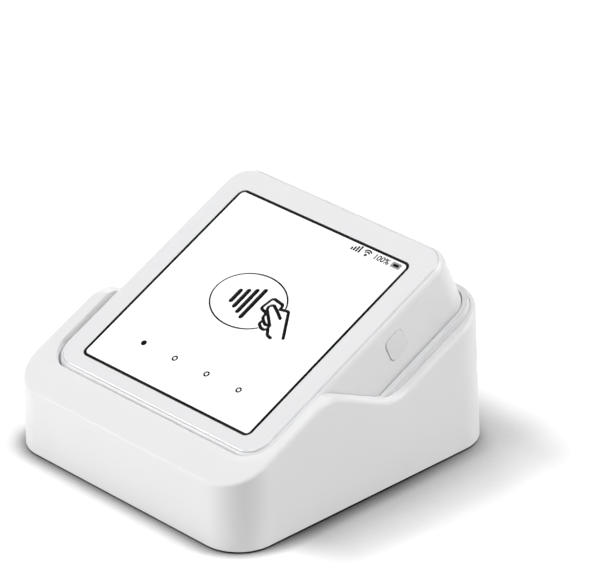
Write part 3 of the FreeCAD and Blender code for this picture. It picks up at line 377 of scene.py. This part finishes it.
# a drawn line: a flat band along a path, with round ends a hair thinner than it
def lineTree(bendSteps=8, endSides=24):
    tree, given = startTree("drawnLine", "Width", "Thickness", "Corner")
    path = addNode(tree, "GeometryNodeMeshToCurve", {"Mesh": given["Geometry"]})
    path = addNode(tree, "GeometryNodeFilletCurve", {"Curve": path, "Count": bendSteps, "Radius": given["Corner"],
                                                     "Limit Radius": True}, mode="POLY")
    path = addNode(tree, "GeometryNodeSetCurveNormal", {"Curve": path}, mode="Z_UP")
    section = addNode(tree, "GeometryNodeCurvePrimitiveQuadrilateral", {"Width": given["Width"],
                                                                       "Height": given["Thickness"]})
    band = addNode(tree, "GeometryNodeCurveToMesh", {"Curve": path, "Profile Curve": section, "Fill Caps": True})
    half = addNode(tree, "ShaderNodeMath", {0: given["Width"], 1: 0.5}, operation="MULTIPLY")
    thin = addNode(tree, "ShaderNodeMath", {0: given["Thickness"], 1: 0.98}, operation="MULTIPLY")
    disc = addNode(tree, "GeometryNodeMeshCylinder", {"Vertices": endSides, "Radius": half, "Depth": thin})
    ends = addNode(tree, "GeometryNodeCurveEndpointSelection")
    isOpen = addNode(tree, "FunctionNodeBooleanMath", {0: addNode(tree, "GeometryNodeInputSplineCyclic")},
                     operation="NOT")
    openEnds = addNode(tree, "FunctionNodeBooleanMath", {0: ends, 1: isOpen}, operation="AND")
    discs = addNode(tree, "GeometryNodeInstanceOnPoints", {"Points": path, "Instance": disc,
                                                           "Selection": openEnds})
    return endTree(tree, given, addNode(tree, "GeometryNodeJoinGeometry", {"Geometry": [band, discs]}))


# a compression spring along z, its first and last turn closed and its wire inside the length
def coilTree(stepsPerTurn=40, wireSides=10):
    tree, given = startTree("coilSpring", "Radius", "Wire", "Length", "Turns")
    spiral = addNode(tree, "GeometryNodeCurveSpiral", {"Resolution": stepsPerTurn, "Rotations": given["Turns"],
                                                       "Start Radius": given["Radius"],
                                                       "End Radius": given["Radius"], "Height": 1.0})
    along = addNode(tree, "GeometryNodeSplineParameter")
    firstEnd = addNode(tree, "ShaderNodeMath", {0: 1.0, 1: given["Turns"]}, operation="DIVIDE")
    lastStart = addNode(tree, "ShaderNodeMath", {0: 1.0, 1: firstEnd}, operation="SUBTRACT")
    # a wire's rise in each end turn, and half a wire's thickness past both of them
    closedLength = addNode(tree, "ShaderNodeMath", {0: given["Wire"], 1: 3.0}, operation="MULTIPLY")
    openLength = addNode(tree, "ShaderNodeMath", {0: given["Length"], 1: closedLength}, operation="SUBTRACT")
    halfWire = addNode(tree, "ShaderNodeMath", {0: given["Wire"], 1: 0.5}, operation="MULTIPLY")
    height = halfWire
    for start, end, rise in ((0.0, firstEnd, given["Wire"]), (firstEnd, lastStart, openLength),
                             (lastStart, 1.0, given["Wire"])):
        risen = addNode(tree, "ShaderNodeMapRange", {"Value": along, "From Min": start, "From Max": end,
                                                     "To Max": rise})
        height = addNode(tree, "ShaderNodeMath", {0: height, 1: risen}, operation="ADD")
    place = addNode(tree, "ShaderNodeSeparateXYZ", {0: addNode(tree, "GeometryNodeInputPosition")}).outputs
    moved = addNode(tree, "ShaderNodeCombineXYZ", {"X": place["X"], "Y": place["Y"], "Z": height})
    wound = addNode(tree, "GeometryNodeSetPosition", {"Geometry": spiral, "Position": moved})
    section = addNode(tree, "GeometryNodeCurvePrimitiveCircle", {"Resolution": wireSides, "Radius": halfWire})
    return endTree(tree, given, addNode(tree, "GeometryNodeCurveToMesh", {"Curve": wound, "Fill Caps": True,
                                                                          "Profile Curve": section}))


# a slotted pan-head screw at each point, its head towards -z
def screwTree(headSides=40, shankSides=32):
    tree, given = startTree("slottedScrews", "Head Radius", "Head Height", "Chamfer", "Shank Radius", "Length",
                            "Slot Width", "Slot Depth")
    turned = []
    for sides, radius, start, end in ((shankSides, "Shank Radius", "Head Height", "Length"),
                                      (headSides, "Head Radius", "Chamfer", "Head Height")):
        height = addNode(tree, "ShaderNodeMath", {0: given[end], 1: given[start]}, operation="SUBTRACT")
        half = addNode(tree, "ShaderNodeMath", {0: height, 1: 0.5}, operation="MULTIPLY")
        middle = addNode(tree, "ShaderNodeMath", {0: given[start], 1: half}, operation="ADD")
        barrel = addNode(tree, "GeometryNodeMeshCylinder", {"Vertices": sides, "Radius": given[radius],
                                                            "Depth": height})
        lift = addNode(tree, "ShaderNodeCombineXYZ", {"Z": middle})
        turned.append(addNode(tree, "GeometryNodeTransform", {"Geometry": barrel, "Translation": lift}))
    crownRadius = addNode(tree, "ShaderNodeMath", {0: given["Head Radius"], 1: given["Chamfer"]},
                          operation="SUBTRACT")
    turned.append(addNode(tree, "GeometryNodeMeshCone", {"Vertices": headSides, "Radius Bottom": crownRadius,
                                                         "Radius Top": given["Head Radius"],
                                                         "Depth": given["Chamfer"]}))
    # the slot cuts past both sides of the head and out of its end
    slotLength = addNode(tree, "ShaderNodeMath", {0: given["Head Radius"], 1: 3.0}, operation="MULTIPLY")
    slotHeight = addNode(tree, "ShaderNodeMath", {0: given["Slot Depth"], 1: 2.0}, operation="MULTIPLY")
    slotSize = addNode(tree, "ShaderNodeCombineXYZ", {"X": slotLength, "Y": given["Slot Width"],
                                                      "Z": slotHeight})
    slot = addNode(tree, "GeometryNodeMeshCube", {"Size": slotSize})
    blank = addNode(tree, "GeometryNodeMeshBoolean", {"Mesh 2": turned}, operation="UNION")
    screw = addNode(tree, "GeometryNodeMeshBoolean", {"Mesh 1": blank, "Mesh 2": slot}, operation="DIFFERENCE")
    return endTree(tree, given, addNode(tree, "GeometryNodeInstanceOnPoints", {"Points": given["Geometry"],
                                                                               "Instance": screw}))


# each loose solid of a node as (foot, length, half width), in millimetres along its own axis
def looseSolids(nodeName, turn):
    build = bmesh.new()
    build.from_mesh(nodes[nodeName].data)
    bmesh.ops.remove_doubles(build, verts=build.verts, dist=weldLook["merge"])
    waiting, solids = set(build.verts), []
    while waiting:
        reached = [waiting.pop()]
        for corner in reached:
            for edge in corner.link_edges:
                other = edge.other_vert(corner)
                if other in waiting:
                    waiting.remove(other)
                    reached.append(other)
        local = [turn.transposed() @ corner.co / millimetre for corner in reached]
        low = Vector([min(place[axis] for place in local) for axis in range(3)])
        high = Vector([max(place[axis] for place in local) for axis in range(3)])
        foot = Vector(((low.x + high.x) / 2, (low.y + high.y) / 2, low.z))
        solids.append((foot, high.z - low.z, (high.x - low.x) / 2))
    build.free()
    return sorted(solids, key=lambda solid: (round(solid[0].x, 3), round(solid[0].y, 3)))


def standIn(piece, turn, nodeName, sharpDegrees=35):
    piece.data.transform(turn.to_4x4() @ Matrix.Scale(millimetre, 4))
    for face in piece.data.polygons:
        face.use_smooth = True
    piece.data.set_sharp_from_angle(angle=math.radians(sharpDegrees))
    settle(piece, nodes[nodeName]["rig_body"], "screw_steel", nodeName)


# springs and screws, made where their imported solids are, in millimetres
faceTurn = Matrix.Rotation(slopeAngle, 3, "X")
springLook = {"Wire": 0.25, "Turns": 6.5}
coilSpring = coilTree()
for pinNumber in range(1, 5):
    nodeName = "pin_spring_%d" % pinNumber
    foot, length, halfWidth = looseSolids(nodeName, faceTurn)[0]
    spring = runTree("pinSpring%d" % pinNumber, bpy.data.meshes.new(nodeName), coilSpring,
                     {**springLook, "Radius": halfWidth - springLook["Wire"] / 2, "Length": length,
                      "Material": springSteel})
    spring.data.transform(Matrix.Translation(foot))
    standIn(spring, faceTurn, nodeName)
    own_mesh(spring)

screwLook = {"Head Height": 1.2, "Chamfer": 0.3, "Shank Radius": 1.0, "Slot Width": 0.5, "Slot Depth": 0.6}
slottedScrews = screwTree()
for nodeName, pieceName, turn in (("back_screws", "backScrews", faceTurn),
                                  ("base_screws", "baseScrews", Matrix.Identity(3))):
    solids = looseSolids(nodeName, turn)
    points = bpy.data.meshes.new(nodeName)
    points.from_pydata([foot for foot, length, halfWidth in solids], [], [])
    foot, length, halfWidth = solids[0]
    screws = runTree(pieceName, points, slottedScrews,
                     {**screwLook, "Head Radius": halfWidth, "Length": length, "Material": screwSteel})
    standIn(screws, turn, nodeName)
print("springs and screws made")

# what the display shows lies on the glass in thin layers, in millimetres
layerLook = {"thickness": 0.06, "fieldTop": 0.012, "outlineTop": 0.02, "inkTop": 0.028, "merge": 1e-4}
drawnLine = lineTree()


def placeOnFace(piece, level):
    build = bmesh.new()
    build.from_mesh(piece.data)
    bmesh.ops.remove_doubles(build, verts=build.verts, dist=layerLook["merge"])
    bmesh.ops.recalc_face_normals(build, faces=build.faces)
    bmesh.ops.transform(build, matrix=facePlace @ Matrix.Translation((0, 0, level)), verts=build.verts)
    build.to_mesh(piece.data)
    build.free()
    settle(piece, "reader", "display")


def drawLines(name, paths, width, ink, top=layerLook["inkTop"], corner=0.0, closed=False):
    corners, edges = [], []
    for path in paths:
        first = len(corners)
        corners += [(x, y, 0) for x, y in path]
        edges += [(step, step + 1) for step in range(first, len(corners) - 1)]
        if closed:
            edges.append((len(corners) - 1, first))
    mesh = bpy.data.meshes.new(name)
    mesh.from_pydata(corners, edges, [])
    piece = runTree(name, mesh, drawnLine, {"Width": width, "Thickness": layerLook["thickness"],
                                            "Corner": corner, "Material": ink})
    placeOnFace(piece, top - layerLook["thickness"] / 2)


def flatShape(name, outline, ink, top=layerLook["inkTop"]):
    build = bmesh.new()
    lower = [build.verts.new((x, y, -layerLook["thickness"])) for x, y in outline]
    upper = [build.verts.new((x, y, 0)) for x, y in outline]
    build.faces.new(lower[::-1])
    build.faces.new(upper)
    for step in range(len(outline)):
        after = (step + 1) % len(outline)
        build.faces.new((lower[step], lower[after], upper[after], upper[step]))
    mesh = bpy.data.meshes.new(name)
    build.to_mesh(mesh)
    build.free()
    mesh.materials.append(ink)
    placeOnFace(newPiece(name, mesh), top)


def roundedOutline(middle, half, radius, steps=10):
    outline = []
    for quarter, (sideX, sideY) in enumerate(((1, 1), (-1, 1), (-1, -1), (1, -1))):
        for step in range(steps + 1):
            angle = math.pi / 2 * (quarter + step / steps)
            outline.append((middle[0] + sideX * (half[0] - radius) + radius * math.cos(angle),
                            middle[1] + sideY * (half[1] - radius) + radius * math.sin(angle)))
    return outline


def arcPath(middle, half, fromDegrees, toDegrees, steps):
    angles = [math.radians(fromDegrees + (toDegrees - fromDegrees) * step / steps) for step in range(steps + 1)]
    return [(middle[0] + half[0] * math.cos(angle), middle[1] + half[1] * math.sin(angle)) for angle in angles]


def circlePath(middle, radius, corners):
    return arcPath(middle, (radius, radius), 0, 360 * (corners - 1) / corners, corners - 1)


displayLook = {
    "panelBorder": 1.0, "fieldInset": 0.1,        # panel beyond the outline, and field inside it
    "lineWidth": 0.92, "cornerRadius": 2.2,
    "ringMiddle": (-1.3, 1.35), "ringHalf": (13.0, 9.65), "ringWidth": 0.48,
    "ringFrom": 17, "ringTo": 318, "ringSteps": 96,        # degrees, open where the hand crosses it
    "barWidth": 1.5, "barStep": 2.35, "barFirst": (-6.3, 1.2), "barHalf": (2.0, 3.1, 4.2, 5.3),
    "handWidth": 1.0, "handCorner": 0.9,
    "handLines": [        # a hand that holds out a card, as plain outlines
        [(9.7, 3.3), (9.5, 4.8), (4.9, 5.5), (4.0, 1.0), (6.4, 0.4)],                       # card
        [(12.2, 0.6), (9.2, 2.4), (6.9, 3.6), (5.7, 2.7), (6.2, 1.4), (10.9, -2.6)],        # forefinger
        [(6.9, 0.0), (7.0, -1.3), (8.3, -2.4), (9.6, -3.1), (11.2, -2.8)],                  # folded fingers
        [(7.8, -2.6), (7.6, -3.6), (9.2, -4.6), (10.6, -4.8), (11.4, -3.8), (10.9, -2.6)],
        [(9.7, 3.2), (12.7, 3.7), (18.2, -4.6)],                                            # back of the hand
        [(11.4, -3.9), (13.0, -5.8), (14.6, -6.2)],                                         # wrist
    ],
    "dotPlaces": ((-6.3, -24.85), (6.6, -24.85), (19.5, -24.85)), "dotRadius": 0.72, "dotWidth": 0.5,
    "dotFilled": (-19.1, -24.85), "dotFilledRadius": 0.92,
}
panelLow, panelHigh = spreadAlong("display_panel", faceUp)
panelLeft, panelRight = spreadAlong("display_panel", Vector((1, 0, 0)))
fieldMiddle = (0, ((panelLow + panelHigh) / 2 - faceMiddle.dot(faceUp)) / millimetre)
fieldHalf = [span / 2 / millimetre - displayLook["panelBorder"] for span in (panelRight - panelLeft,
                                                                             panelHigh - panelLow)]
flatShape("displayField", roundedOutline(fieldMiddle, [half - displayLook["fieldInset"] for half in fieldHalf],
                                         displayLook["cornerRadius"]), screenWhite, layerLook["fieldTop"])
lineHalf = displayLook["lineWidth"] / 2
drawLines("displayOutline", [roundedOutline(fieldMiddle, [half - lineHalf for half in fieldHalf],
                                            displayLook["cornerRadius"] - lineHalf)],
          displayLook["lineWidth"], screenBlack, layerLook["outlineTop"], closed=True)
drawLines("promptRing", [arcPath(displayLook["ringMiddle"], displayLook["ringHalf"], displayLook["ringFrom"],
                                 displayLook["ringTo"], displayLook["ringSteps"])],
          displayLook["ringWidth"], screenBlack)
barX, barY = displayLook["barFirst"]
bars = [[(barX + index * displayLook["barStep"], barY - half), (barX + index * displayLook["barStep"], barY + half)]
        for index, half in enumerate(displayLook["barHalf"])]
drawLines("promptBars", bars, displayLook["barWidth"], screenBlack)
drawLines("promptHand", displayLook["handLines"], displayLook["handWidth"], screenBlack,
          corner=displayLook["handCorner"])
drawLines("pageDots", [circlePath(place, displayLook["dotRadius"], corners=24)
                       for place in displayLook["dotPlaces"]], displayLook["dotWidth"], screenBlack, closed=True)
flatShape("pageDotFilled", circlePath(displayLook["dotFilled"], displayLook["dotFilledRadius"], corners=36),
          screenBlack)

# status line: signal steps, fan, charge and battery
statusLook = {
    "baseline": 30.3, "height": 2.0, "stepFirst": 13.1, "stepPitch": 0.95, "stepWidth": 0.66, "stepCount": 4,
    "fanMiddle": (18.75, 30.25), "fanRadii": (1.15, 1.85), "fanFrom": 48, "fanTo": 132, "fanWidth": 0.5,
    "figures": "100%", "figuresAt": (21.35, 30.25), "figuresSize": 2.75, "figuresBolder": 0.065,
    "figuresSteps": 3,
    "batteryMiddle": (29.95, 31.2), "batteryHalf": (1.75, 1.0), "batteryCorner": 0.35,
    "batteryCoreHalf": (1.0, 0.45), "batteryCoreCorner": 0.15,
}
steps = []
for index in range(statusLook["stepCount"]):
    x = statusLook["stepFirst"] + index * statusLook["stepPitch"]
    height = statusLook["height"] * (index + 1) / statusLook["stepCount"]
    steps.append([(x, statusLook["baseline"]), (x, statusLook["baseline"] + height)])
drawLines("statusSteps", steps, statusLook["stepWidth"], screenBlack)
drawLines("statusFan", [arcPath(statusLook["fanMiddle"], (radius, radius), statusLook["fanFrom"],
                                statusLook["fanTo"], steps=12) for radius in statusLook["fanRadii"]],
          statusLook["fanWidth"], screenGrey)
flatShape("statusFanFoot", circlePath(statusLook["fanMiddle"], statusLook["fanWidth"], corners=18),
          screenGrey)
flatShape("statusBattery", roundedOutline(statusLook["batteryMiddle"], statusLook["batteryHalf"],
                                          statusLook["batteryCorner"], steps=4),
          screenPale, layerLook["outlineTop"])
flatShape("statusBatteryCore", roundedOutline(statusLook["batteryMiddle"], statusLook["batteryCoreHalf"],
                                              statusLook["batteryCoreCorner"], steps=3), screenBlack)
figures = bpy.data.curves.new("statusFigures", "FONT")
figures.body = statusLook["figures"]
figures.size = statusLook["figuresSize"]
figures.offset = statusLook["figuresBolder"]
figures.extrude = layerLook["thickness"] / 2
figures.resolution_u = statusLook["figuresSteps"]
figuresPiece = newPiece("statusFiguresDraft", figures)
figuresMesh = bpy.data.meshes.new_from_object(figuresPiece.evaluated_get(bpy.context.evaluated_depsgraph_get()))
bpy.data.objects.remove(figuresPiece)
figuresMesh.transform(Matrix.Translation((*statusLook["figuresAt"], 0)))
figuresMesh.materials.clear()
figuresMesh.materials.append(screenGrey)
placeOnFace(newPiece("statusFigures", figuresMesh), layerLook["inkTop"] - layerLook["thickness"] / 2)
print("display drawn")

# floor and light, in metres, degrees and watts
studioLook = {
    "floorHalf": 4.0, "floorColour": "#f8f8f8", "floorFlecks": "#fafafa", "fleckMm": 3,
    "floorLift": 0.4, "liftReach": 0.028,        # painted glow: how much the paper brightens away from the shaded side
    "shadeMiddle": (0.024, 0.014, 0), "shadeHalf": (0.039, 0.037, 0),
    "contactReach": 0.006, "contactPower": 2.0, "rearPower": 0.2, "rearFrom": 0.01,
    "shadeReach": 0.028, "shadePower": 1.25, "skySamples": 8,
    "worldDiffuse": 0.0, "lampDistance": 1.4,
    "lamps": {   # name: (turn from the front and height in degrees, width, power)
        "frontLamp": (325, 15, 0.5, 9.2), "frontHighLamp": (342, 52, 0.45, 4.7),
        "rightLamp": (127, 25, 0.45, 1.6), "rightMidLamp": (120, 40, 0.45, 2.1),
        "rightHighLamp": (140, 60, 0.45, 10.4), "nearHighLamp": (60, 60, 0.45, 1.5),
        "leftLamp": (240, 15, 0.45, 4.0),
    },
}


# 1 for rays that bring a surface to the eye, straight, mirrored or through glass, and 0 for its light
def seenShare(tree):
    rays = addNode(tree, "ShaderNodeLightPath").outputs
    share = rays["Is Camera Ray"]
    for other in ("Is Glossy Ray", "Is Transmission Ray"):
        share = addNode(tree, "ShaderNodeMath", {0: share, 1: rays[other]}, operation="MAXIMUM")
    return share


# matt paper sweep: an even near-white without gloss, with painted shade where the body keeps light from it and a
# painted glow away from the shaded side, both only for rays that are seen
floorPaper, tree, shader, place = startMaterial("floor_matt_paper", {"Roughness": 0.9, "Specular IOR Level": 0.0,
                                                                     "Emission Color": (1, 1, 1, 1)})
flecks = addNode(tree, "ShaderNodeTexNoise", {"Vector": place, "Scale": perMillimetres(studioLook["fleckMm"]),
                                              "Detail": 4.0})
paper = addNode(tree, "ShaderNodeMix", {0: flecks, 6: linearColour(studioLook["floorColour"]),
                                        7: linearColour(studioLook["floorFlecks"])}, data_type="RGBA")
seen = seenShare(tree)
away = place        # becomes the distance from the shaded side's box
for operation, operand in (("SUBTRACT", studioLook["shadeMiddle"]), ("ABSOLUTE", (0, 0, 0)),
                           ("SUBTRACT", studioLook["shadeHalf"]), ("MAXIMUM", (0, 0, 0)), ("LENGTH", (0, 0, 0))):
    away = addNode(tree, "ShaderNodeVectorMath", {0: away, 1: operand}, operation=operation)
lit = addNode(tree, "ShaderNodeMapRange", {"Value": away, "From Max": studioLook["liftReach"]},
              interpolation_type="SMOOTHSTEP")
brighter = addNode(tree, "ShaderNodeMapRange", {"Value": lit, "To Min": 0.0, "To Max": studioLook["floorLift"]})
contactPower = addNode(tree, "ShaderNodeMapRange",
                       {"Value": addNode(tree, "ShaderNodeSeparateXYZ", {0: place}).outputs["Y"],
                        "From Min": studioLook["rearFrom"], "From Max": cadHigh.y,
                        "To Min": studioLook["contactPower"], "To Max": studioLook["rearPower"]})
shadePower = addNode(tree, "ShaderNodeMapRange", {"Value": lit, "To Min": studioLook["shadePower"],
                                                  "To Max": 0.0})
# painted shade: ambient occlusion darkens the paper's colour near the body, more on the shaded side and less towards
# the rear
openShares = []
for reach, power in ((studioLook["contactReach"], contactPower), (studioLook["shadeReach"], shadePower)):
    sky = addNode(tree, "ShaderNodeAmbientOcclusion", {"Distance": reach},
                  samples=studioLook["skySamples"]).outputs["AO"]
    openShares.append(addNode(tree, "ShaderNodeMath", {0: sky, 1: power}, operation="POWER"))
openShare = addNode(tree, "ShaderNodeMath", {0: openShares[0], 1: openShares[1]}, operation="MULTIPLY")
openSeen = addNode(tree, "ShaderNodeMapRange", {"Value": seen, "To Min": 1.0, "To Max": openShare})
shadedPaper = addNode(tree, "ShaderNodeMix", {0: openSeen, 6: (0, 0, 0, 1), 7: paper}, data_type="RGBA")
# painted glow: emission that brightens the paper away from the shaded side, dimmed where the painted shade falls
lift = addNode(tree, "ShaderNodeMath", {0: seen, 1: openSeen}, operation="MULTIPLY")
lift = addNode(tree, "ShaderNodeMath", {0: lift, 1: brighter}, operation="MULTIPLY")
fillInputs(tree, shader, {"Base Color": shadedPaper, "Emission Strength": lift})

floorMesh = bpy.data.meshes.new("floor")
reach = studioLook["floorHalf"]
floorMesh.from_pydata([(-reach, -reach, 0), (reach, -reach, 0), (reach, reach, 0), (-reach, reach, 0)], [],
                      [(0, 1, 2, 3)])
floorMesh.materials.append(floorPaper)
newPiece("studioFloor", floorMesh)

world = bpy.data.worlds.new("studioWorld")
scene.world = world
world.use_nodes = True
tree = world.node_tree
tree.nodes.clear()
strength = addNode(tree, "ShaderNodeMapRange", {"Value": seenShare(tree), "To Min": studioLook["worldDiffuse"],
                                                "To Max": 1.0})
background = addNode(tree, "ShaderNodeBackground", {"Color": (1, 1, 1, 1), "Strength": strength})
addNode(tree, "ShaderNodeOutputWorld", {"Surface": background})

aim = Vector((0, 0, (cadLow.z + cadHigh.z) / 2))
for lampName, (around, above, width, power) in studioLook["lamps"].items():
    around, above = math.radians(around), math.radians(above)
    place = aim + studioLook["lampDistance"] * Vector((math.cos(above) * math.sin(around),
                                                       -math.cos(above) * math.cos(around), math.sin(above)))
    lamp = bpy.data.lights.new(lampName, "AREA")
    lamp.shape = "SQUARE"
    lamp.size = width
    lamp.energy = power
    lampPiece = newPiece(lampName, lamp)
    lampPiece.location = place
    lampPiece.rotation_euler = (aim - place).to_track_quat("-Z", "Y").to_euler()

cameraLook = {"fromMiddle": (0.75807, -0.72014, 0.55335), "turnDegrees": (62.923, 0, 45.763),
              "lens": 252.24, "sensorWidth": 36}
camera = bpy.data.cameras.new("camera")
camera.lens = cameraLook["lens"]
camera.sensor_width = cameraLook["sensorWidth"]
cameraPiece = newPiece("camera", camera)
cameraPiece.location = (cadLow + cadHigh) / 2 + Vector(cameraLook["fromMiddle"])
cameraPiece.rotation_euler = [math.radians(angle) for angle in cameraLook["turnDegrees"]]
scene.camera = cameraPiece
scene.view_settings.view_transform = "Standard"
print("studio lit")
